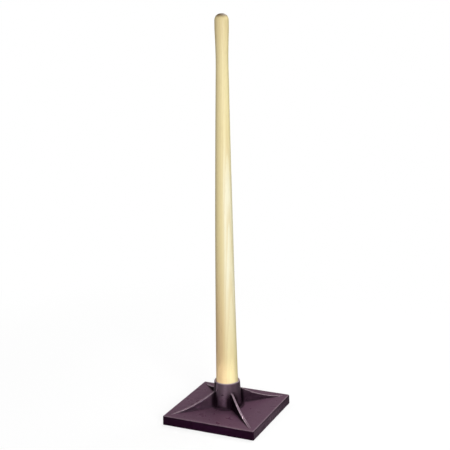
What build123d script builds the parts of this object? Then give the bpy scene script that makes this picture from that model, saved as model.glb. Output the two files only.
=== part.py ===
"""A hand tamper: a square cast-iron head with four ribs and a socket, on a long turned ash handle.

Millimetres, +Z up along the handle. The origin is the centre of the flat sole, and the head's
sides lie along X and Y. Each separate piece of the real tool is one STEP file: tamper_head,
handle and retaining_screw.
"""

import os
from math import hypot, radians, sqrt, tan

from build123d import *

# ---- driving dimensions ----

# Head plate
PLATE_SIDE = 254.0  # 10 in square, measured across the sole
PLATE_EDGE = 25.0  # height of the plate's upright sides
PLATE_CROWN = 3.0  # how far the top rises from its edges towards the middle
PLATE_DRAFT = 1.0  # degrees; foundry draft of the upright sides
PLATE_CORNER = 4.0  # plan radius of the four corners
PLATE_TOP_ROUND = 3.0  # rounding along the top edge
SOLE_ROUND = 1.0  # rounding along the sole's edge
CROWN_FLAT = 50.0  # side of the crown's flat middle, which the socket covers

# Socket
SOCKET_TOP = 96.0  # height of the rim above the sole
SOCKET_RIM_R = 33.6  # outer radius at the rim
SOCKET_FOOT_R = 38.0  # outer radius where the socket meets the plate
SOCKET_RIM_ROUND = 2.8  # outer rounding of the rim
SOCKET_FOOT_FILLET = 4.0
BORE_FLOOR = 10.0  # thickness of iron left under the handle
BORE_MOUTH_R = 28.4
BORE_FLOOR_R = 26.0
BORE_MOUTH_CHAMFER = 1.2  # lead-in at the mouth, which leaves a thin open ring round the handle

# Ribs, one along each diagonal. Distances along a rib are measured from the socket's axis.
RIB_AT_SOCKET = (34.0, 71.5)  # (distance, height) of the top edge at the socket
RIB_MIDDLE = (98.0, 39.9)
RIB_END = (170.0, 24.6)  # just under the plate's surface, so the edge runs out into the corner
RIB_FOOT_THICKNESS = 8.0
RIB_DRAFT = 1.5  # degrees on each side
RIB_TOP_ROUND = 2.0
RIB_FOOT_FILLET = 4.0
RIB_FEET_END = 160.0  # the foot fillets have sunk into the plate before this distance
RIB_ROOT = 8.0  # depth of a rib's root inside the plate

# Handle: (height above the sole, radius) between the socket's mouth and the widest part of the knob
HANDLE_RADII = [
    (300.0, 25.4),
    (500.0, 22.6),
    (700.0, 19.1),
    (860.0, 16.4),
    (925.0, 15.5),
    (965.0, 16.3),
]
KNOB_R = 17.4
KNOB_BASE = 1000.0  # height where the knob reaches its full radius
DOME_BASE = 1014.0  # height where the knob starts to close over
DOME_SHOULDER = (1027.6, 13.0)  # (height, radius) on the dome
HANDLE_TIP = 1032.0
HANDLE_FOOT_CHAMFER = 2.5

# Retaining screw: No. 14 x 1 1/2 in round-head slotted wood screw, through the rear of the collar
SCREW_HEIGHT = 82.5
SCREW_LENGTH = 38.0  # under the head
SCREW_SHANK_R = 3.1
SCREW_CORE_R = 2.2
SCREW_PITCH = 2.54
SCREW_PLAIN_LENGTH = 11.0  # unthreaded, under the head
SCREW_TIP_LENGTH = 6.0
SCREW_HEAD_R = 6.1
SCREW_HEAD_HEIGHT = 4.6
SCREW_SLOT_WIDTH = 1.6
SCREW_SLOT_DEPTH = 2.2
SCREW_HOLE_R = 3.4  # clearance hole through the socket's wall
SPOT_FACE_R = 7.2
SPOT_FACE_DEPTH = 1.3  # below the wall's outer surface, on the screw's axis

# ---- worked out from the driving dimensions ----

PLATE_TOP_SIDE = PLATE_SIDE - 2 * PLATE_EDGE * tan(radians(PLATE_DRAFT))
CROWN_TOP = PLATE_EDGE + PLATE_CROWN * (1 - CROWN_FLAT / PLATE_TOP_SIDE)
RIDGE_FALL = sqrt(2) * (CROWN_TOP - PLATE_EDGE) / (PLATE_TOP_SIDE - CROWN_FLAT)  # slope of the ridges
RIDGE_START = CROWN_FLAT / sqrt(2) - PLATE_CORNER * (sqrt(2) - 1)
RIDGE_TOP = CROWN_TOP + RIDGE_FALL * RIDGE_START  # where the ridges' lines cross the handle's axis
BORE_MOUTH = SOCKET_TOP - 2 * BORE_MOUTH_CHAMFER  # the handle touches the bore up to here
SOCKET_BURIED = PLATE_EDGE - 6.0  # the socket's outer cone starts this low, inside the plate


def along(start, end, height):
    """Radius at a height on the straight line through two (height, radius) points."""
    (z0, r0), (z1, r1) = start, end
    return r0 + (r1 - r0) * (height - z0) / (z1 - z0)


def socket_outer_radius(height):
    return along((PLATE_EDGE, SOCKET_FOOT_R), (SOCKET_TOP, SOCKET_RIM_R), height)


def bore_radius(height):
    return along((BORE_FLOOR, BORE_FLOOR_R), (SOCKET_TOP, BORE_MOUTH_R), height)


def turned(outline):
    """A solid of revolution about Z from an outline drawn as (radius, height)."""
    return revolve(Plane.XZ * make_face(outline), Axis.Z)


# ---- the cast head ----


def rounded_square(side, height):
    return Pos(0, 0, height) * RectangleRounded(side, side, PLATE_CORNER)


def plate():
    """The square plate: drafted sides, and a top that rises in four flat slopes towards the socket."""
    top_edge = rounded_square(PLATE_TOP_SIDE, PLATE_EDGE)
    sides = loft([rounded_square(PLATE_SIDE, 0), top_edge], ruled=True)
    crown = loft([top_edge, rounded_square(CROWN_FLAT, CROWN_TOP)], ruled=True)
    body = sides + crown
    rim = body.edges().filter_by_position(Axis.Z, PLATE_EDGE - 0.01, PLATE_EDGE + 0.01)
    body = fillet(rim, PLATE_TOP_ROUND)
    return fillet(body.edges().group_by(Axis.Z)[0], SOLE_ROUND)


def socket_shell():
    """The socket's outside, still solid."""
    outline = Polyline(
        (0, SOCKET_BURIED),
        (socket_outer_radius(SOCKET_BURIED), SOCKET_BURIED),
        (SOCKET_RIM_R, SOCKET_TOP),
        (0, SOCKET_TOP),
        close=True,
    )
    body = turned(outline)
    rim = body.edges().group_by(Axis.Z)[-1]
    return fillet(rim, SOCKET_RIM_ROUND)


def rib_section(foot_fillet=0.0):
    """A rib's cross-section, drawn from the plate's surface: x across the rib and y up it."""
    lean = tan(radians(RIB_DRAFT))
    foot = RIB_FOOT_THICKNESS / 2
    height = RIB_AT_SOCKET[1] - PLATE_EDGE + 2
    crest = foot - height * lean
    buried = foot + RIB_ROOT * lean
    if not foot_fillet:
        corners = [(-buried, -RIB_ROOT), (buried, -RIB_ROOT), (crest, height), (-crest, height)]
        return make_face(Polyline(*corners, close=True))
    toe = foot + foot_fillet + 1
    toe_drop = toe * RIDGE_FALL + 0.1  # ends just inside the plate, which falls away beside the ridge
    section = make_face(
        Polyline(
            (-toe, -RIB_ROOT),
            (toe, -RIB_ROOT),
            (toe, -toe_drop),
            (foot, 0),
            (crest, height),
            (-crest, height),
            (-foot, 0),
            (-toe, -toe_drop),
            close=True,
        )
    )
    feet = section.vertices().filter_by(lambda v: abs(v.Y) < 0.01)
    return fillet(feet, foot_fillet)


def rib():
    """One rib along +X: a drafted web whose arched top edge runs out into the plate."""
    start = BORE_MOUTH_R
    floor = PLATE_EDGE - RIB_ROOT
    top = ThreePointArc(RIB_AT_SOCKET, RIB_MIDDLE, RIB_END)
    back = (start, RIB_AT_SOCKET[1])
    below = Polyline(RIB_END, (RIB_END[0], floor), (start, floor), back, RIB_AT_SOCKET)
    side_view = extrude(Plane.XZ * make_face(top + below), PLATE_EDGE, both=True)

    web = side_view & extrude(Plane.YZ * Pos(0, PLATE_EDGE) * rib_section(), RIB_END[0])
    crown = web.faces().filter_by(GeomType.CYLINDER).sort_by(Axis.Z)[-1]
    long_edges = crown.edges().filter_by(lambda e: abs((e @ 1).X - (e @ 0).X) > RIB_FOOT_THICKNESS)
    web = fillet(long_edges, RIB_TOP_ROUND)

    ridge = Plane(origin=(0, 0, RIDGE_TOP), x_dir=(0, 1, 0), z_dir=(1, 0, -RIDGE_FALL))
    feet = extrude(ridge * rib_section(RIB_FOOT_FILLET), RIB_FEET_END)
    return web + (feet & Pos(0, 0, -RIB_TOP_ROUND) * side_view)


def bore():
    """The tapered hole that the handle is driven into, with its chamfered mouth."""
    over = SOCKET_TOP + 1.0
    rim = BORE_MOUTH_R + BORE_MOUTH_CHAMFER
    outline = Polyline(
        (0, BORE_FLOOR),
        (BORE_FLOOR_R, BORE_FLOOR),
        (bore_radius(BORE_MOUTH), BORE_MOUTH),
        (rim, SOCKET_TOP),
        (rim, over),
        (0, over),
        close=True,
    )
    return turned(outline)


def along_screw(shape):
    """Moves a shape made about +Z, with the screw's seat at z = 0 and its head above, into place."""
    seat = socket_outer_radius(SCREW_HEIGHT) - SPOT_FACE_DEPTH
    return Pos(0, seat, SCREW_HEIGHT) * Rot(-90, 0, 0) * shape


def screw_hole():
    through = Pos(0, 0, -SCREW_LENGTH / 2) * Cylinder(SCREW_HOLE_R, SCREW_LENGTH)
    spot_face = Pos(0, 0, SCREW_LENGTH / 2) * Cylinder(SPOT_FACE_R, SCREW_LENGTH)
    return along_screw(through + spot_face)


def is_socket_foot(edge):
    """Whether an edge is part of the ring where the socket meets the plate."""
    middle = edge @ 0.5
    return PLATE_EDGE < middle.Z < CROWN_TOP + 1 and abs(hypot(middle.X, middle.Y) - SOCKET_FOOT_R) < 1


def tamper_head():
    body = plate() + socket_shell()
    foot_ring = body.edges().filter_by(is_socket_foot)
    body = fillet(foot_ring, SOCKET_FOOT_FILLET)
    for quarter in range(4):
        body += Rot(0, 0, 45 + 90 * quarter) * rib()
    return body - bore() - screw_hole()


# ---- the handle ----


def handle():
    """A long taper from the socket to a slim grip and a domed knob. Its foot fits the bore."""
    foot_in = BORE_FLOOR_R - HANDLE_FOOT_CHAMFER
    foot_up = BORE_FLOOR + HANDLE_FOOT_CHAMFER
    foot = Polyline((0, BORE_FLOOR), (foot_in, BORE_FLOOR), (bore_radius(foot_up), foot_up))
    fit = Line((bore_radius(foot_up), foot_up), (bore_radius(BORE_MOUTH), BORE_MOUTH))
    taper = Spline(
        [(bore_radius(BORE_MOUTH), BORE_MOUTH)] + [(r, z) for z, r in HANDLE_RADII] + [(KNOB_R, KNOB_BASE)],
        tangents=[(-0.014, 1), (0, 1)],
    )
    knob = Line((KNOB_R, KNOB_BASE), (KNOB_R, DOME_BASE))
    dome = Spline(
        [(KNOB_R, DOME_BASE), (DOME_SHOULDER[1], DOME_SHOULDER[0]), (0, HANDLE_TIP)],
        tangents=[(0, 1), (-1, 0)],
    )
    axis = Line((0, HANDLE_TIP), (0, BORE_FLOOR))
    return turned(foot + fit + taper + knob + dome + axis)


# ---- the retaining screw ----


def retaining_screw():
    """Round-head slotted wood screw. Its thread is a run of rings, one per turn."""
    thread_end = -SCREW_LENGTH + SCREW_TIP_LENGTH
    points = [(0, 0), (SCREW_SHANK_R, 0), (SCREW_SHANK_R, -SCREW_PLAIN_LENGTH)]
    turns = int((-SCREW_PLAIN_LENGTH - thread_end) / SCREW_PITCH)
    for turn in range(turns):
        root = -SCREW_PLAIN_LENGTH - turn * SCREW_PITCH
        points.append((SCREW_CORE_R, root - 0.35 * SCREW_PITCH))
        points.append((SCREW_SHANK_R, root - 0.8 * SCREW_PITCH))
        points.append((SCREW_SHANK_R, root - 0.9 * SCREW_PITCH))
        points.append((SCREW_CORE_R, root - SCREW_PITCH))
    points.append((SCREW_CORE_R, thread_end))
    points.append((0, -SCREW_LENGTH))
    shank = turned(Polyline(*points, close=True))
    dome_r = (SCREW_HEAD_R**2 + SCREW_HEAD_HEIGHT**2) / (2 * SCREW_HEAD_HEIGHT)
    dome = RadiusArc((SCREW_HEAD_R, 0), (0, SCREW_HEAD_HEIGHT), -dome_r)
    head = turned(Polyline((0, SCREW_HEAD_HEIGHT), (0, 0), (SCREW_HEAD_R, 0)) + dome)
    slot = Pos(0, 0, SCREW_HEAD_HEIGHT - SCREW_SLOT_DEPTH / 2 + 0.5) * Box(
        4 * SCREW_HEAD_R, SCREW_SLOT_WIDTH, SCREW_SLOT_DEPTH + 1
    )
    return along_screw(shank + head - slot)


def write(name, shape):
    export_step(shape, f"parts/{name}.step")


os.makedirs("parts", exist_ok=True)
screw = retaining_screw()
write("tamper_head", tamper_head())
write("handle", handle() - screw)
write("retaining_screw", screw)
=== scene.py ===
"""The looks of a hand tamper: a painted cast-iron head, a turned ash handle and its retaining screw.

Lengths inside the shape functions are millimetres, and meshes are handed to Blender in metres.
Materials and the studio are in metres. +Z runs up the handle and the origin is the sole's centre.
"""

import math

import bpy
import numpy as np
import openvdb
from mathutils import Matrix, Vector


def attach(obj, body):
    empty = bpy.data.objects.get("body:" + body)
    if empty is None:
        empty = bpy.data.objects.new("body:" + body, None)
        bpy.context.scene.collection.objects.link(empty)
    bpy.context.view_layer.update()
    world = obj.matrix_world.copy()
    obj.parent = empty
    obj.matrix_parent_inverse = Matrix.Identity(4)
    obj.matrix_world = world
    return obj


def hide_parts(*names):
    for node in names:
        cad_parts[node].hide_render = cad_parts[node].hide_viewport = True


MM = 0.001

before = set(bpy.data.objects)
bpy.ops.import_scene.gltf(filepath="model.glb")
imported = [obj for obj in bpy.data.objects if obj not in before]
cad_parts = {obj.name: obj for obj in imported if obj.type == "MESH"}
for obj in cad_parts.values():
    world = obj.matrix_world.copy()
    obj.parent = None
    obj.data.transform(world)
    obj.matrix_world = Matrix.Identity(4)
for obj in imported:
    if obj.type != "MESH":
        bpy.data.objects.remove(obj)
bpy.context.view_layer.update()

# ---- the head's dimensions ----

PLATE_HALF = 127.0  # half the side of the square sole
PLATE_EDGE = 25.0  # height of the plate's upright sides
PLATE_CROWN = 3.0  # how far the four slopes of the top rise from the sides to the axis
PLATE_DRAFT = math.tan(math.radians(1.0))
PLATE_CORNER = 4.0
PLATE_TOP_ROUND = 3.0
SOLE_ROUND = 1.2

SOCKET_TOP = 96.0
SOCKET_RIM_R = 33.6
SOCKET_FOOT_R = 38.0
SOCKET_RIM_ROUND = 2.8
SOCKET_FOOT_FILLET = 5.0

BORE_FLOOR = 10.0
BORE_FLOOR_R = 26.0
BORE_MOUTH = 93.6  # height where the bore's chamfer starts
BORE_MOUTH_R = 28.4
BORE_RIM_R = 29.6
BORE_EDGE_ROUND = 0.6

RIB_ARC = ((34.0, 71.5), (98.0, 39.9), (170.0, 24.6))  # (distance from the axis, height) on the top edge
RIB_FOOT_HALF = 4.0
RIB_LEAN = math.tan(math.radians(1.5))
RIB_TOP_ROUND = 2.2
RIB_FOOT_FILLET = 3.0
RIB_FILLET_END = 0.5  # the fillets beside a rib shrink to this at its end
RIB_NOSE = 157.5  # distance from the axis where a rib ends, a little proud of the plate
RIB_NOSE_ROUND = 1.2

SCREW_HEIGHT = 82.5
SCREW_HOLE_R = 3.4
SCREW_HOLE_START = 20.0  # distance from the axis, inside the bore
SPOT_FACE_R = 7.2
SPOT_FACE_DEPTH = 1.3
WALL_CHANGE = (SOCKET_RIM_R - SOCKET_FOOT_R) * (SCREW_HEIGHT - PLATE_EDGE) / (SOCKET_TOP - PLATE_EDGE)
SCREW_SEAT = SOCKET_FOOT_R + WALL_CHANGE - SPOT_FACE_DEPTH  # distance from the axis to the screw's head

# ---- distance fields: negative inside a solid ----


def round_both(a, b, r):
    """What is inside both a and b, with the edge between them rounded to radius r."""
    return np.minimum(np.maximum(a, b), -r) + np.hypot(np.maximum(a + r, 0), np.maximum(b + r, 0))


def fillet_either(a, b, r):
    """What is inside a or b, with a fillet of radius r in the corner between them."""
    return np.maximum(np.minimum(a, b), r) - np.hypot(np.maximum(r - a, 0), np.maximum(r - b, 0))


def cone(rho, z, start, end):
    """Distance outside a cone through two (height, radius) points."""
    slope = (end[1] - start[1]) / (end[0] - start[0])
    return (rho - start[1] - slope * (z - start[0])) / math.hypot(1, slope)


def circle_through(a, b, c):
    """Centre and radius of the circle through three points."""
    rows = np.array([[b[0] - a[0], b[1] - a[1]], [c[0] - a[0], c[1] - a[1]]]) * 2.0
    squares = [p[0] ** 2 + p[1] ** 2 for p in (a, b, c)]
    x, y = np.linalg.solve(rows, np.array([squares[1] - squares[0], squares[2] - squares[0]]))
    return x, y, math.hypot(a[0] - x, a[1] - y)


ARC_X, ARC_Z, ARC_R = circle_through(*RIB_ARC)


def plate_sides(ax, ay, z):
    """The drafted square prism with rounded corners that bounds the plate, from absolute x and y."""
    half = PLATE_HALF - z * PLATE_DRAFT
    dx, dy = ax - half + PLATE_CORNER, ay - half + PLATE_CORNER
    beyond = np.hypot(np.maximum(dx, 0), np.maximum(dy, 0))
    return beyond + np.minimum(np.maximum(dx, dy), 0) - PLATE_CORNER


def rib_field(along, across, z):
    """One rib: a drafted web under its arched top edge, from distances along and across the diagonal."""
    web = across - RIB_FOOT_HALF + (z - PLATE_EDGE) * RIB_LEAN
    under_arc = ARC_R - np.hypot(along - ARC_X, z - ARC_Z)
    rib = round_both(web, under_arc, RIB_TOP_ROUND)
    return round_both(rib, along - RIB_NOSE, RIB_NOSE_ROUND)


def rib_foot_fillet(along):
    """Radius of the fillets beside a rib: full out to half the nose's distance, then shrinking."""
    shrinking = RIB_FOOT_FILLET * (RIB_NOSE - along) / (RIB_NOSE / 2)
    return np.clip(shrinking, RIB_FILLET_END, RIB_FOOT_FILLET)


def bore_field(rho, z):
    """The tapered hole for the handle, with its chamfered mouth."""
    taper = cone(rho, z, (BORE_FLOOR, BORE_FLOOR_R), (BORE_MOUTH, BORE_MOUTH_R))
    mouth = cone(rho, z, (BORE_MOUTH, BORE_MOUTH_R), (SOCKET_TOP, BORE_RIM_R))
    return np.minimum(np.maximum(taper, BORE_FLOOR - z), mouth)


def screw_hole_field(x, y, z):
    """The clearance hole through the socket's +Y wall, and the flat under the screw's head."""
    around = np.hypot(x, z - SCREW_HEIGHT)
    hole = np.maximum(around - SCREW_HOLE_R, SCREW_HOLE_START - y)
    spot_face = np.maximum(around - SPOT_FACE_R, SCREW_SEAT - y)
    return np.minimum(hole, spot_face)


def head_field(x, y, z):
    """The casting: plate, socket and a rib on each diagonal, less the bore and the screw's hole."""
    ax, ay, rho = np.abs(x), np.abs(y), np.hypot(x, y)
    top = z - PLATE_EDGE - PLATE_CROWN * (1 - np.maximum(ax, ay) / PLATE_HALF)
    wall = cone(rho, z, (PLATE_EDGE, SOCKET_FOOT_R), (SOCKET_TOP, SOCKET_RIM_R))
    socket = round_both(wall, z - SOCKET_TOP, SOCKET_RIM_ROUND)
    body = fillet_either(top, socket, SOCKET_FOOT_FILLET)

    along, across = (ax + ay) / math.sqrt(2), np.abs(ax - ay) / math.sqrt(2)
    body = fillet_either(body, rib_field(along, across, z), rib_foot_fillet(along))
    body = round_both(body, plate_sides(ax, ay, z), PLATE_TOP_ROUND)
    body = round_both(body, -z, SOLE_ROUND)
    body = round_both(body, -bore_field(rho, z), BORE_EDGE_ROUND)
    return np.maximum(body, -screw_hole_field(x, y, z))


# ---- the screw ----

SCREW_LENGTH = 38.0  # under the head
SCREW_SHANK_R = 3.1
SCREW_CORE_R = 2.2
SCREW_PITCH = 2.54
SCREW_PLAIN = 11.0  # unthreaded, under the head
SCREW_TIP = 8.0  # length of the point
THREAD_HALF = 0.42  # half the width of the thread's foot, in pitches
THREAD_EASE = 0.8  # keeps the field close to true distance on the thread's flanks
SCREW_HEAD_R = 6.1
SCREW_HEAD_HEIGHT = 4.6
SCREW_HEAD_ROUND = 0.3
SCREW_NECK = 1.0  # how far the shank reaches into the head
SCREW_NECK_FILLET = 0.3
SLOT_HALF = 0.8
SLOT_DEPTH = 2.2
SLOT_ROUND = 0.15


def screw_field(x, y, z):
    """The screw about Z, head up and its seat at z = 0."""
    rho = np.hypot(x, y)
    dome_r = (SCREW_HEAD_R**2 + SCREW_HEAD_HEIGHT**2) / (2 * SCREW_HEAD_HEIGHT)
    dome = np.sqrt(rho**2 + (z - SCREW_HEAD_HEIGHT + dome_r) ** 2) - dome_r
    head = round_both(dome, -z, SCREW_HEAD_ROUND)
    slot = np.maximum(np.abs(x) - SLOT_HALF, SCREW_HEAD_HEIGHT - SLOT_DEPTH - z)
    head = round_both(head, -slot, SLOT_ROUND)

    turn = np.arctan2(y, x) / (2 * math.pi)
    phase = np.mod(z / SCREW_PITCH - turn, 1.0)
    ridge = np.clip(1 - np.abs(phase - 0.5) / THREAD_HALF, 0, 1)
    taper = np.clip((z + SCREW_LENGTH) / SCREW_TIP, 0, 1)
    fade = np.clip((-z - SCREW_PLAIN) / SCREW_PITCH, 0, 1)
    thread_r = SCREW_CORE_R * taper + (SCREW_SHANK_R - SCREW_CORE_R) * ridge * np.sqrt(taper)
    shank_r = SCREW_SHANK_R + (thread_r - SCREW_SHANK_R) * fade
    ends = np.maximum(z - SCREW_NECK, -z - SCREW_LENGTH)
    shank = np.maximum((rho - shank_r) * THREAD_EASE, ends)
    return fillet_either(head, shank, SCREW_NECK_FILLET)


# ---- meshes ----

SLAB = 24  # grid planes worked out at a time


def mesh_object(name, points, faces):
    mesh = bpy.data.meshes.new(name)
    mesh.from_pydata(points, [], faces)
    mesh.polygons.foreach_set("use_smooth", np.ones(len(mesh.polygons), bool))
    mesh.update()
    obj = bpy.data.objects.new(name, mesh)
    bpy.context.scene.collection.objects.link(obj)
    return obj


def surface_of(field, low, high, step):
    """The zero surface of a distance field on a grid of the given step: points in mm, and quads."""
    axes = [np.arange(a - 2 * step, b + 3 * step, step, dtype=np.float32) for a, b in zip(low, high)]
    values = np.empty([len(a) for a in axes], np.float32)
    for i in range(0, len(axes[0]), SLAB):
        x = axes[0][i : i + SLAB, None, None]
        values[i : i + SLAB] = field(x, axes[1][None, :, None], axes[2][None, None, :])
    grid = openvdb.FloatGrid(2 * step)
    grid.copyFromArray(np.clip(values, -2 * step, 2 * step))
    points, quads = grid.convertToQuads(0.0)
    points = points * step + np.array([a[0] for a in axes])
    return points, quads


def smooth_value(knots, start_slope, end_slope):
    """A smooth function of height through (height, value) knots, by cubic Hermite pieces."""
    z, v = np.array(knots, float).T
    gap = np.diff(z)
    slope = np.diff(v) / gap
    inner = (slope[:-1] * gap[1:] + slope[1:] * gap[:-1]) / (gap[:-1] + gap[1:])
    slopes = np.concatenate([[start_slope], inner, [end_slope]])

    def value(height):
        height = np.clip(height, z[0], z[-1])
        i = np.clip(np.searchsorted(z, height, side="right") - 1, 0, len(gap) - 1)
        h = gap[i]
        t = (height - z[i]) / h
        a = v[i] * (1 + 2 * t) * (1 - t) ** 2 + v[i + 1] * t**2 * (3 - 2 * t)
        return a + h * (slopes[i] * t * (1 - t) ** 2 - slopes[i + 1] * t**2 * (1 - t))

    return value


def lathe(name, outline, segments, centre):
    """A closed surface turned from (height, radius) points, whose first and last radii are zero.

    centre gives the axis's x and y at each height.
    """
    angles = np.linspace(0, 2 * math.pi, segments, endpoint=False)
    rings, ends = outline[1:-1], outline[[0, -1], 0]
    cx, cy = centre(rings[:, 0])
    x = cx[:, None] + rings[:, 1, None] * np.cos(angles)
    y = cy[:, None] + rings[:, 1, None] * np.sin(angles)
    z = np.repeat(rings[:, 0, None], segments, axis=1)
    ex, ey = centre(ends)
    around = np.stack([x, y, z], axis=-1).reshape(-1, 3)
    points = np.vstack([around, np.stack([ex, ey, ends], axis=-1)])
    row = np.arange(len(rings) - 1)[:, None] * segments
    here = np.arange(segments)
    after = (here + 1) % segments
    quads = np.stack([row + here, row + after, row + segments + after, row + segments + here], axis=-1)
    foot, tip, top_ring = len(points) - 2, len(points) - 1, (len(rings) - 1) * segments
    faces = quads.reshape(-1, 4).tolist()
    faces += [(foot, after[i], i) for i in range(segments)]
    faces += [(tip, top_ring + i, top_ring + after[i]) for i in range(segments)]
    return mesh_object(name, points * MM, faces)


def ripple(points, shortest, longest, count, seed):
    """A rough, repeatable pattern over points, between -1 and 1.

    It is made of count waves of many directions, with lengths from shortest to longest.
    """
    rng = np.random.default_rng(seed)
    total = np.zeros(len(points))
    for _ in range(count):
        direction = rng.normal(size=3)
        direction /= np.linalg.norm(direction)
        length = shortest * (longest / shortest) ** rng.random()
        total += np.sin(points @ direction * (2 * math.pi / length) + rng.random() * 2 * math.pi)
    return np.tanh(total / math.sqrt(count))


def set_attribute(obj, name, values):
    attribute = obj.data.attributes.new(name, "FLOAT", "POINT")
    attribute.data.foreach_set("value", np.asarray(values, np.float32))


# ---- the pieces ----

HEAD_GRID = 1.0
CURVATURE_STEP = 1.6  # half the span over which bends are measured
EDGE_GAIN = 2.6  # how strongly a convex bend counts as an edge
HOLLOW_GAIN = 5.0  # how strongly a concave bend counts as a hollow
WANDER_DEPTH = 0.14  # mean depth of the casting's slow waves
SKIN_DEPTH = 0.04  # mean depth of its grainy skin


def gradient_and_bend(field, points):
    """The outward unit normal of a distance field at points, and its bend, which is positive on edges."""
    bend = -6 * field(*points.T)
    normal = np.zeros_like(points)
    for axis in range(3):
        offset = np.zeros(3)
        offset[axis] = CURVATURE_STEP
        ahead = field(*(points + offset).T)
        behind = field(*(points - offset).T)
        bend += ahead + behind
        normal[:, axis] = ahead - behind
    normal /= np.linalg.norm(normal, axis=1)[:, None]
    return normal, bend / CURVATURE_STEP**2


def build_head():
    low, high = (-PLATE_HALF, -PLATE_HALF, 0), (PLATE_HALF, PLATE_HALF, SOCKET_TOP)
    points, quads = surface_of(head_field, low, high, HEAD_GRID)
    normal, bend = gradient_and_bend(head_field, points)

    # A sand casting is never quite true: its faces wander and its skin is grainy.
    # Both only take metal away, so the casting stays inside its nominal size.
    wander = WANDER_DEPTH * (1 + ripple(points, 14, 60, 40, 3))
    skin = SKIN_DEPTH * (1 + ripple(points, 3, 7, 60, 5))
    taken = wander + skin
    obj = mesh_object("head_casting", (points - normal * taken[:, None]) * MM, quads.tolist())
    set_attribute(obj, "edge", np.clip(bend * EDGE_GAIN, 0, 1))
    set_attribute(obj, "hollow", np.clip(-bend * HOLLOW_GAIN, 0, 1))
    set_attribute(obj, "upward", normal[:, 2])
    return obj


HANDLE_FOOT = 10.0
HANDLE_TIP = 1032.0
KNOB_R = 17.4
DOME_BASE = 1014.0
DOME_SQUARENESS = 2.3  # 2 is an ellipse, and more is blunter
DOME_RINGS = 40
SHAFT_RING_GAP = 4.0
HANDLE_SEGMENTS = 144
FOOT_OUTLINE = [(HANDLE_FOOT, 0), (HANDLE_FOOT, 12), (HANDLE_FOOT, 23.4), (12.5, 26.0), (50, 27.1)]
HANDLE_KNOTS = [
    (BORE_MOUTH, BORE_MOUTH_R),
    (300.0, 25.4),
    (500.0, 22.6),
    (700.0, 19.1),
    (860.0, 16.4),
    (925.0, 15.5),
    (965.0, 16.3),
    (1000.0, KNOB_R),
]
BOW_KNOTS = [
    (SOCKET_TOP, 0.0),
    (300.0, -0.8),
    (600.0, -0.7),
    (773.0, 0.1),
    (880.0, 1.0),
    (HANDLE_TIP, 1.7),
]
BOW_DIRECTION = (math.cos(math.radians(24.5)), math.sin(math.radians(24.5)))

handle_radius = smooth_value(HANDLE_KNOTS, -0.014, 0.0)
handle_bow = smooth_value(BOW_KNOTS, -0.004, 0.002)


def handle_axis(height):
    """Where the slightly bowed handle's axis is at a height."""
    sideways = handle_bow(height)
    return sideways * BOW_DIRECTION[0], sideways * BOW_DIRECTION[1]


def build_handle():
    shaft_z = np.concatenate([[BORE_MOUTH], np.arange(SOCKET_TOP, DOME_BASE, SHAFT_RING_GAP)])
    shaft = np.stack([shaft_z, handle_radius(shaft_z)], axis=-1)
    turn = np.linspace(0, math.pi / 2, DOME_RINGS)[:-1]
    dome_r = KNOB_R * np.cos(turn) ** (2 / DOME_SQUARENESS)
    dome_z = DOME_BASE + (HANDLE_TIP - DOME_BASE) * np.sin(turn) ** (2 / DOME_SQUARENESS)
    dome = np.stack([dome_z, dome_r], axis=-1)
    outline = np.vstack([FOOT_OUTLINE, shaft, dome, [(HANDLE_TIP, 0)]])
    return lathe("handle_ash", outline, HANDLE_SEGMENTS, handle_axis)


SCREW_GRID = 0.16
SCREW_BOX = ((-6.5, -6.5, -38.5), (6.5, 6.5, 5))
SCREW_SPIN = math.radians(24)  # how far round the slot stands


def build_screw():
    points, quads = surface_of(screw_field, *SCREW_BOX, SCREW_GRID)
    seat = Matrix.Translation(Vector((0, SCREW_SEAT, SCREW_HEIGHT)) * MM)
    lie_along_y = Matrix.Rotation(-math.pi / 2, 4, "X")
    obj = mesh_object("screw_steel", points * MM, quads.tolist())
    obj.data.transform(seat @ lie_along_y @ Matrix.Rotation(SCREW_SPIN, 4, "Z"))
    return obj


# ---- building materials from nodes ----


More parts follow.
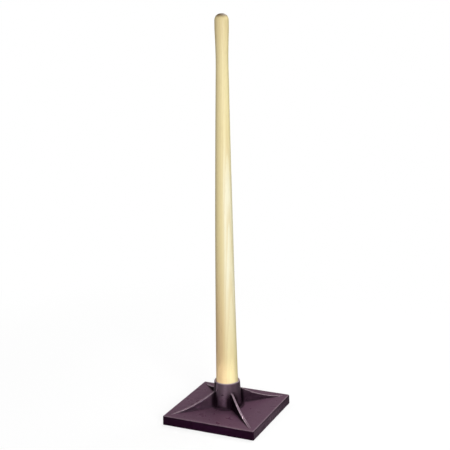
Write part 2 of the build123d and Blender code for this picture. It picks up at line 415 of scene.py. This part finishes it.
class Nodes:
    """Short names for building the nodes of a material or a world."""

    def __init__(self, owner):
        owner.use_nodes = True
        self.owner = owner
        self.tree = owner.node_tree
        self.place = self.add("ShaderNodeTexCoord").outputs["Object"]

    def add(self, kind, **settings):
        node = self.tree.nodes.new(kind)
        for key, value in settings.items():
            setattr(node, key, value)
        return node

    def feed(self, socket, value):
        if isinstance(value, bpy.types.NodeSocket):
            self.tree.links.new(value, socket)
        else:
            socket.default_value = value

    def attribute(self, name):
        return self.add("ShaderNodeAttribute", attribute_name=name).outputs["Fac"]

    def axes(self):
        """The x, y and height of the place being shaded."""
        node = self.add("ShaderNodeSeparateXYZ")
        self.feed(node.inputs[0], self.place)
        return node.outputs["X"], node.outputs["Y"], node.outputs["Z"]

    def length(self, vector):
        node = self.add("ShaderNodeVectorMath", operation="LENGTH")
        self.feed(node.inputs[0], vector)
        return node.outputs["Value"]

    def facing(self, direction):
        """How squarely the surface is turned towards a direction: 1 straight at it, -1 straight away."""
        node = self.add("ShaderNodeVectorMath", operation="DOT_PRODUCT")
        self.feed(node.inputs[0], self.add("ShaderNodeTexCoord").outputs["Normal"])
        node.inputs[1].default_value = direction
        return node.outputs["Value"]

    def math(self, operation, a, b=0.0, clamp=False):
        node = self.add("ShaderNodeMath", operation=operation, use_clamp=clamp)
        self.feed(node.inputs[0], a)
        self.feed(node.inputs[1], b)
        return node.outputs[0]

    def sum(self, a, b):
        return self.math("ADD", a, b)

    def times(self, first, *others):
        for other in others:
            first = self.math("MULTIPLY", first, other)
        return first

    def larger(self, a, b):
        return self.math("MAXIMUM", a, b)

    def magnitude(self, value):
        return self.math("ABSOLUTE", value)

    def stretch(self, vector, scale):
        node = self.add("ShaderNodeMapping")
        self.feed(node.inputs["Vector"], vector)
        node.inputs["Scale"].default_value = scale
        return node.outputs[0]

    def noise(self, vector, scale, detail=3.0, roughness=0.5):
        node = self.add("ShaderNodeTexNoise")
        self.feed(node.inputs["Vector"], vector)
        node.inputs["Scale"].default_value = scale
        node.inputs["Detail"].default_value = detail
        node.inputs["Roughness"].default_value = roughness
        return node.outputs["Fac"]

    def ramp(self, value, low, high, to_low=0.0, to_high=1.0):
        """value taken smoothly from low..high to to_low..to_high."""
        node = self.add("ShaderNodeMapRange", interpolation_type="SMOOTHSTEP")
        self.feed(node.inputs["Value"], value)
        limits = {"From Min": low, "From Max": high, "To Min": to_low, "To Max": to_high}
        for key, amount in limits.items():
            self.feed(node.inputs[key], amount)
        return node.outputs[0]

    def blend(self, amount, a, b, mode="MIX"):
        node = self.add("ShaderNodeMix", data_type="RGBA", blend_type=mode)
        self.feed(node.inputs["Factor"], amount)
        for key, colour in (("A", a), ("B", b)):
            made_by_node = isinstance(colour, bpy.types.NodeSocket)
            self.feed(node.inputs[key], colour if made_by_node else (*colour, 1.0))
        return node.outputs["Result"]

    def bump(self, height, distance, strength, under=None):
        node = self.add("ShaderNodeBump")
        self.feed(node.inputs["Height"], height)
        node.inputs["Distance"].default_value = distance
        node.inputs["Strength"].default_value = strength
        if under is not None:
            self.feed(node.inputs["Normal"], under)
        return node.outputs[0]

    def by_ray(self, to_camera, to_gloss, to_diffuse):
        """One of three numbers, by what sees the surface: the camera, a reflection, or spread light."""
        path = self.add("ShaderNodeLightPath")
        value = to_diffuse
        for kind, amount in (("Is Glossy Ray", to_gloss), ("Is Camera Ray", to_camera)):
            node = self.add("ShaderNodeMix", data_type="FLOAT")
            self.feed(node.inputs["Factor"], path.outputs[kind])
            self.feed(node.inputs["A"], value)
            self.feed(node.inputs["B"], amount)
            value = node.outputs["Result"]
        return value

    def finish(self, **inputs):
        shader = self.tree.nodes["Principled BSDF"]
        for key, value in inputs.items():
            self.feed(shader.inputs[key.replace("_", " ")], value)
        return self.owner


# ---- painted iron ----

IRON_PAINT = (0.020, 0.0095, 0.0170)
# Painted top light on faces that look up, also the colour of real dust blotches.
IRON_DUST_AND_TOP_LIGHT = (0.112, 0.055, 0.088)
# Painted shade on the plate's upright flanks.
IRON_FLANK_SHADE = (0.0070, 0.0003, 0.0060)
# Painted light on the socket's collar above the ribs: lighter and greyer than the paint below.
IRON_COLLAR_LIGHT = (0.031, 0.025, 0.028)
# Painted highlight on edges that catch light, together with real worn paint.
IRON_WEAR_AND_HIGHLIGHT = (0.42, 0.335, 0.37)
# Painted shade in corners, creases and round the socket's foot, and the dark specks of the grainy skin.
IRON_SHADE_AND_GRAIN = (0.0018, 0.0004, 0.0014)
IRON_SHEEN_TINT = (1.0, 0.66, 0.88, 1.0)

# Ranges over which something sets in, going from the first value to the second
COLLAR_HEIGHT = (0.040, 0.085)
FLANK_HEIGHT = (0.0255, 0.0235)
ABOVE_PLATE = (0.0255, 0.0285)
WEAR_AND_HIGHLIGHT_HEIGHT = (0.0245, 0.0285)  # the painted highlight and wear are stronger on the ribs than on the plate's edge below them
RIM_HEIGHT = (0.0938, 0.0955)
NEAR_SOCKET = (0.050, 0.040)  # from the axis
NEAR_RIB = (0.030, 0.016)  # from a diagonal, measured along X or Y
ON_RIB = (0.012, 0.008)  # measured in the same way
FOOT_RING_REACH = (0.0470, 0.0425)  # from the axis
FOOT_RING_HEIGHT = (0.041, 0.031)
SHELTER_REACH = 0.05  # how far off metal counts as sheltering a spot
SHELTERED = (0.95, 0.72)  # share of the open room above a spot
FRONT_LEFT = (-math.sqrt(0.5), -math.sqrt(0.5), 0.0)


def iron_painted_shade(n, upward):
    """Where painted shade blackens the iron: corners, the socket's sheltered walls and foot, and the rib
    faces that look to the front left.
    """
    x, y, height = n.axes()
    from_axis = n.length(n.stretch(n.place, (1, 1, 0)))
    off_diagonal = n.magnitude(n.math("SUBTRACT", n.magnitude(x), n.magnitude(y)))
    near_socket = n.ramp(from_axis, *NEAR_SOCKET)
    near_rib = n.ramp(off_diagonal, *NEAR_RIB)

    shelter = n.add("ShaderNodeAmbientOcclusion", samples=8, only_local=True)
    shelter.inputs["Distance"].default_value = SHELTER_REACH
    sheltered = n.ramp(shelter.outputs["AO"], *SHELTERED)
    # Painted shade where the socket's walls are sheltered by the ribs and the plate.
    sheltered_shade = n.times(near_socket, n.ramp(upward, 0.9, 0.4), near_rib, sheltered)
    crease_shade_limit = n.ramp(n.times(near_socket, near_rib), 0, 1, 0.45, 0.9)
    painted_shade = n.larger(sheltered_shade, n.ramp(n.attribute("hollow"), 0.15, 1.0, 0, crease_shade_limit))

    # Painted shade also lies on the rib faces that look to the front left, and on a ring round the socket's
    # foot.
    rib_face = n.times(n.ramp(off_diagonal, *ON_RIB), n.ramp(height, *ABOVE_PLATE))
    painted_shade = n.larger(painted_shade, n.times(rib_face, n.ramp(n.facing(FRONT_LEFT), 0.80, 0.97)))
    foot_ring = n.times(n.ramp(from_axis, *FOOT_RING_REACH, 0, 0.75), n.ramp(height, *FOOT_RING_HEIGHT))
    return n.larger(painted_shade, foot_ring)


def iron_wear_and_highlight(n, upward, height):
    """Where edges that look up get a painted highlight along with paint worn thin, most of all on the ribs
    and the rim.
    """
    patchy = n.ramp(n.noise(n.place, 130, 4, 0.6), 0.30, 0.62, 0.45, 1)
    rubbed_and_lit = n.times(n.attribute("edge"), patchy, n.ramp(upward, 0.30, 0.85))
    rubbed_and_lit = n.times(rubbed_and_lit, n.ramp(height, *WEAR_AND_HIGHLIGHT_HEIGHT, 0.4, 1))
    return n.larger(rubbed_and_lit, n.ramp(height, *RIM_HEIGHT, 0, 0.9))


def iron_material():
    n = Nodes(bpy.data.materials.new("plum_black_paint_on_iron"))
    height = n.axes()[2]
    upward = n.attribute("upward")
    clouds = n.noise(n.place, 14, 4)
    blotches = n.noise(n.place, 75, 5, 0.6)
    grain = n.noise(n.place, 620, 4, 0.65)
    pits = n.noise(n.place, 2100, 2, 0.5)

    # Painted top light lightens the faces that look up, and real dust lies in blotches; painted light makes
    # the collar lighter and greyer; and painted shade darkens the plate's flanks.
    painted_top_light = n.ramp(n.sum(upward, n.times(clouds, 0.2)), 0.55, 1.05)
    colour = n.blend(painted_top_light, IRON_PAINT, IRON_DUST_AND_TOP_LIGHT)
    colour = n.blend(n.ramp(blotches, 0.45, 0.75, 0, 0.30), colour, IRON_DUST_AND_TOP_LIGHT)
    # Painted light: the collar above the ribs is lighter and greyer.
    collar = n.times(n.ramp(height, *COLLAR_HEIGHT), n.ramp(upward, 0.9, 0.5))
    colour = n.blend(collar, colour, IRON_COLLAR_LIGHT)
    # Painted shade: the plate's flanks are darker.
    flank = n.times(n.ramp(height, *FLANK_HEIGHT), n.ramp(upward, 0.75, 0.35))
    colour = n.blend(flank, colour, IRON_FLANK_SHADE)

    painted_shade = iron_painted_shade(n, upward)
    # Painted shade in corners, creases and on the shaded rib faces.
    colour = n.blend(n.times(painted_shade, 0.95), colour, IRON_SHADE_AND_GRAIN)
    # Painted highlight and worn paint on the edges and the rim.
    colour = n.blend(n.times(iron_wear_and_highlight(n, upward, height), 0.9), colour, IRON_WEAR_AND_HIGHLIGHT)
    colour = n.blend(n.ramp(grain, 0.30, 0.75, 0, 0.22), colour, IRON_SHADE_AND_GRAIN)

    # The painted shade and the flanks are matt, and the collar has the most sheen.
    gloss = n.ramp(n.noise(n.place, 40, 4), 0.3, 0.7, 0.26, 0.38)
    shine = n.ramp(n.larger(painted_shade, n.times(flank, 0.7)), 0.0, 1.0, 0.30, 0.02)
    shine = n.sum(shine, n.times(n.math("SUBTRACT", collar, painted_shade, clamp=True), 0.25))
    relief = n.bump(grain, 0.00035, 0.55)
    relief = n.bump(pits, 0.00012, 0.5, relief)
    return n.finish(
        Base_Color=colour,
        Roughness=gloss,
        Normal=relief,
        Specular_IOR_Level=shine,
        Specular_Tint=IRON_SHEEN_TINT,
    )


# ---- lacquered ash ----

WOOD_EARLY = (0.83, 0.725, 0.40)
# Painted highlight: the paler wood on the side toward the key light.
WOOD_LIT_PALE = (0.88, 0.84, 0.63)
WOOD_LATE = (0.70, 0.56, 0.29)
WOOD_WARM = (0.78, 0.665, 0.36)
WOOD_PORE = (0.42, 0.28, 0.13)
WOOD_END = (0.085, 0.045, 0.020)
# Painted shade: browner wood on the side away from the key light.
SHADED_SIDE_BROWN = (0.84, 0.71, 0.68)
# Painted shade on the handle's far right edge, where the key light grazes.
GRAZED_EDGE_SHADE = (0.83, 0.84, 0.77)
# Painted shade: the top of the handle is darker, where the key light falls off.
TOP_SHADE = (0.93, 0.90, 0.88)

PITH = (-0.055, 0.034)  # where the tree's centre ran, beside the handle
RINGS_PER_METRE = 360
RING_WOBBLE = 1.6  # in rings
# Heights over which the painted shade and the painted highlight on the handle set in.
SHADED_SIDE_HEIGHT = (0.50, 0.15)
LIT_PALE_START = (0.10, 0.40)
LIT_PALE_END = (0.76, 0.58)
TOP_SHADE_HEIGHT = (0.90, 1.01)
END_GRAIN_HEIGHT = (1.0215, 1.0312)


def growth_ring(n):
    """How far through a year's growth the wood is, from 0 in spring to 1 in autumn."""
    x, y, _ = n.axes()
    across, aside = n.math("SUBTRACT", x, PITH[0]), n.math("SUBTRACT", y, PITH[1])
    pith_distance = n.math("SQRT", n.sum(n.math("POWER", across, 2), n.math("POWER", aside, 2)))
    wobble = n.noise(n.stretch(n.place, (1, 1, 0.12)), 26, 3, 0.5)
    rings = n.sum(n.times(pith_distance, RINGS_PER_METRE), n.times(wobble, RING_WOBBLE))
    return n.math("FRACT", rings)


def wood_material():
    n = Nodes(bpy.data.materials.new("lacquered_ash"))
    height = n.axes()[2]
    year = growth_ring(n)
    late = n.times(n.ramp(year, 0.45, 0.92), n.ramp(year, 0.92, 1.0, 1, 0))
    streaks = n.noise(n.stretch(n.place, (1, 1, 0.03)), 260, 5, 0.6)
    bands = n.noise(n.stretch(n.place, (1, 1, 0.05)), 42, 3, 0.5)
    pores = n.noise(n.stretch(n.place, (1, 1, 0.035)), 1500, 2, 0.5)
    pore_mask = n.times(n.ramp(pores, 0.60, 0.72), n.ramp(year, 0.30, 0.0, 0.15, 1))

    # Painted shade: the side away from the key light is browner, most of all near the socket.
    side = n.facing((*BOW_DIRECTION, 0))
    toward_light = n.sum(side, n.times(n.math("SUBTRACT", bands, 0.5), 0.5))
    shaded_side = n.times(n.ramp(toward_light, 0.40, -0.60), n.ramp(height, *SHADED_SIDE_HEIGHT, 0.15, 1.0))
    # Painted highlight: the side toward the key light is paler at mid height.
    lit_pale = n.times(n.ramp(height, *LIT_PALE_START), n.ramp(height, *LIT_PALE_END))
    lit_pale = n.times(lit_pale, n.ramp(toward_light, -0.25, 0.15))

    colour = n.blend(lit_pale, WOOD_EARLY, WOOD_LIT_PALE)
    colour = n.blend(n.times(late, 0.42), colour, WOOD_LATE)
    colour = n.blend(n.ramp(bands, 0.35, 0.70, 0, 0.45), colour, WOOD_WARM)
    colour = n.blend(n.ramp(streaks, 0.48, 0.80, 0, 0.35), colour, WOOD_LATE)
    colour = n.blend(n.times(pore_mask, 0.5), colour, WOOD_PORE)
    # Painted shade on the side away from the key light.
    colour = n.blend(shaded_side, colour, SHADED_SIDE_BROWN, "MULTIPLY")
    # Painted shade on the edge where the key light grazes.
    colour = n.blend(n.ramp(toward_light, 0.70, 0.98), colour, GRAZED_EDGE_SHADE, "MULTIPLY")
    # Painted shade towards the top of the handle.
    colour = n.blend(n.ramp(height, *TOP_SHADE_HEIGHT), colour, TOP_SHADE, "MULTIPLY")
    end_grain = n.ramp(n.sum(height, n.times(streaks, 0.002)), *END_GRAIN_HEIGHT, 0, 0.92)
    colour = n.blend(end_grain, colour, WOOD_END)

    relief = n.bump(streaks, 0.0002, 0.35)
    relief = n.bump(n.math("SUBTRACT", 1.0, pore_mask), 0.00015, 0.5, relief)
    return n.finish(
        Base_Color=colour,
        Roughness=n.ramp(streaks, 0.3, 0.8, 0.40, 0.56),
        Normal=relief,
        Specular_IOR_Level=0.2,
        Coat_Weight=0.04,
        Coat_Roughness=0.4,
    )


# ---- plated steel ----

STEEL_DULL = (0.50, 0.50, 0.52)
STEEL_BRIGHT = (0.68, 0.68, 0.66)


def steel_material():
    n = Nodes(bpy.data.materials.new("zinc_plated_steel"))
    patches = n.noise(n.place, 420, 4, 0.6)
    scratches = n.noise(n.stretch(n.place, (1, 1, 0.08)), 2600, 3, 0.6)
    return n.finish(
        Base_Color=n.blend(n.ramp(patches, 0.35, 0.7), STEEL_DULL, STEEL_BRIGHT),
        Roughness=n.ramp(scratches, 0.3, 0.75, 0.24, 0.42),
        Normal=n.bump(scratches, 0.00004, 0.6),
        Metallic=1.0,
    )


def dress(obj, material, node):
    obj.data.materials.append(material)
    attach(obj, "root")
    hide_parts(node)


dress(build_head(), iron_material(), "tamper_head")
dress(build_handle(), wood_material(), "handle")
dress(build_screw(), steel_material(), "retaining_screw")

# ---- the studio ----

# How bright the surroundings are for the camera, in reflections, and as a source of spread light
BACKDROP = (1.0, 0.22, 0.44)
FLOOR_BRIGHTNESS = (0.93, 0.95, 0.25)
FLOOR_RADIUS = 40.0
FLOOR_FADE = (0.5, 1.4)  # distance from the tool over which the floor turns into the backdrop
FLOOR_GLOW = 0.75  # how much of the floor near the tool already looks like the backdrop
REFLECTED_TINT = (1.0, 0.74, 0.90)
TABLE_END = (0.0, 0.2)  # distance behind the tool over which the floor's reflection turns dark


def floor():
    """A pale floor that fades into the backdrop a little way from the tool."""
    bpy.ops.mesh.primitive_circle_add(vertices=96, radius=FLOOR_RADIUS, fill_type="NGON")
    obj = bpy.context.object
    obj.name = "floor"
    n = Nodes(bpy.data.materials.new("pale_floor"))
    far = n.ramp(n.length(n.place), *FLOOR_FADE, FLOOR_GLOW, 1.0)
    for_camera, for_gloss, for_diffuse = FLOOR_BRIGHTNESS
    for_gloss = n.ramp(n.axes()[1], *TABLE_END, for_gloss, for_diffuse)
    brightness = n.by_ray(for_camera, for_gloss, for_diffuse)
    tint = n.blend(n.by_ray(0.0, 1.0, 0.0), (1, 1, 1), REFLECTED_TINT)
    paint = n.add("ShaderNodeBsdfDiffuse")
    n.feed(paint.inputs["Color"], n.blend(1.0, tint, brightness, "MULTIPLY"))
    glow = n.add("ShaderNodeEmission")
    mix = n.add("ShaderNodeMixShader")
    n.feed(mix.inputs[0], n.times(far, n.by_ray(1.0, 0.0, 0.0)))
    n.feed(mix.inputs[1], paint.outputs[0])
    n.feed(mix.inputs[2], glow.outputs[0])
    n.feed(n.tree.nodes["Material Output"].inputs["Surface"], mix.outputs[0])
    obj.data.materials.append(n.owner)


def backdrop():
    world = bpy.data.worlds.new("studio")
    bpy.context.scene.world = world
    n = Nodes(world)
    background = n.tree.nodes["Background"]
    background.inputs["Color"].default_value = (1, 1, 1, 1)
    n.feed(background.inputs["Strength"], n.by_ray(*BACKDROP))


def direction_to(azimuth, elevation):
    """Unit vector at an azimuth and elevation in degrees. Azimuth 0 is -Y and 90 is +X."""
    azimuth, elevation = math.radians(azimuth), math.radians(elevation)
    level = math.cos(elevation)
    return Vector((math.sin(azimuth) * level, -math.cos(azimuth) * level, math.sin(elevation)))


def soft_light(name, direction, distance, side, power, target=0.45, spread=180):
    """A square light in a direction, aimed at a height on the handle's axis."""
    away = direction_to(*direction)
    light = bpy.data.lights.new(name, "AREA")
    light.size = side
    light.energy = power
    light.spread = math.radians(spread)
    obj = bpy.data.objects.new(name, light)
    bpy.context.scene.collection.objects.link(obj)
    obj.location = Vector((0, 0, target)) + away * distance
    obj.visible_camera = False
    obj.rotation_mode = "QUATERNION"
    obj.rotation_quaternion = away.to_track_quat("Z", "Y")


CAMERA_AZIMUTH = 24.508
CAMERA_ELEVATION = 13.157
CAMERA_ROLL = -0.992
CAMERA_DISTANCE = 2.5175
CAMERA_TARGET = (0.0015, 0.5103)  # to the right of the handle's axis, and up from the sole
CAMERA_LENS = 80.0
SENSOR_WIDTH = 36.0


def camera():
    back = direction_to(CAMERA_AZIMUTH, CAMERA_ELEVATION)
    azimuth, roll = math.radians(CAMERA_AZIMUTH), math.radians(CAMERA_ROLL)
    right = Vector((math.cos(azimuth), math.sin(azimuth), 0))
    tilted_right = math.cos(roll) * right + math.sin(roll) * back.cross(right)
    tilted_up = back.cross(tilted_right)
    target = right * CAMERA_TARGET[0] + Vector((0, 0, CAMERA_TARGET[1]))

    data = bpy.data.cameras.new("camera")
    data.sensor_width = SENSOR_WIDTH
    data.lens = CAMERA_LENS
    obj = bpy.data.objects.new("camera", data)
    bpy.context.scene.collection.objects.link(obj)
    place = Matrix((tilted_right, tilted_up, back)).transposed().to_4x4()
    place.translation = target + back * CAMERA_DISTANCE
    obj.matrix_world = place
    bpy.context.scene.camera = obj


floor()
backdrop()
soft_light("key", (42, 8), distance=2.4, side=0.9, power=44)
soft_light("overhead", (165, 62), distance=2.4, side=1.4, power=42)
soft_light("fill", (-60, 12), distance=2.6, side=1.2, power=6)
soft_light("card", (5, 2), distance=0.9, side=0.14, power=0.05, target=0.045, spread=12)
camera()
bpy.context.scene.view_settings.view_transform = "Standard"
